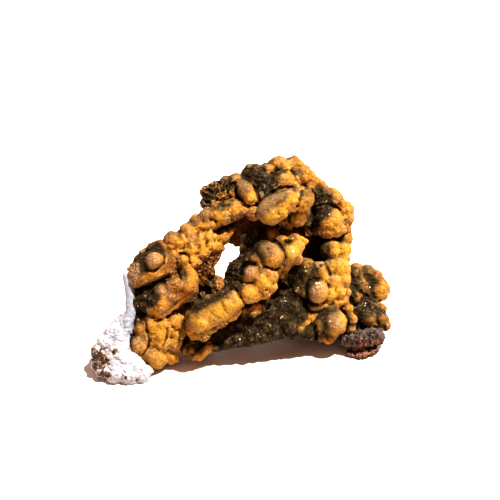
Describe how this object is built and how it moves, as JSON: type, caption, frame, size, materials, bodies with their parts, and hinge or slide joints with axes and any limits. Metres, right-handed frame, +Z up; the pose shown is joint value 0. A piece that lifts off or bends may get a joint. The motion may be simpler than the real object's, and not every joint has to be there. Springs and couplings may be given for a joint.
{
  "type": "mottramite mineral specimen",
  "caption": "Branching, grape-like crust of ochre and olive-black mottramite on rusty matrix, with a white quartz foot; rests on its own lumps",
  "frame": {"origin": "middle of the box on the resting plane, under the specimen", "axes": "+X to the right along the length, +Y to the back, +Z up"},
  "size_m": [0.0602, 0.0379, 0.033],
  "materials": {
    "mottramite": "satin, finely granular",
    "dark_crust": "greasy gloss",
    "matrix": "rough, pitted",
    "quartz": "frosted"
  },
  "bodies": {
    "root": {"crown": "mottramite", "right_column": "mottramite", "rear_column": "mottramite", "middle_branch": "mottramite", "left_arm": "mottramite", "left_leg": "mottramite", "lower_crust": "dark_crust", "back_lobe": "mottramite", "matrix_base": "matrix", "quartz_foot": "quartz"}
  },
  "joints": []
}
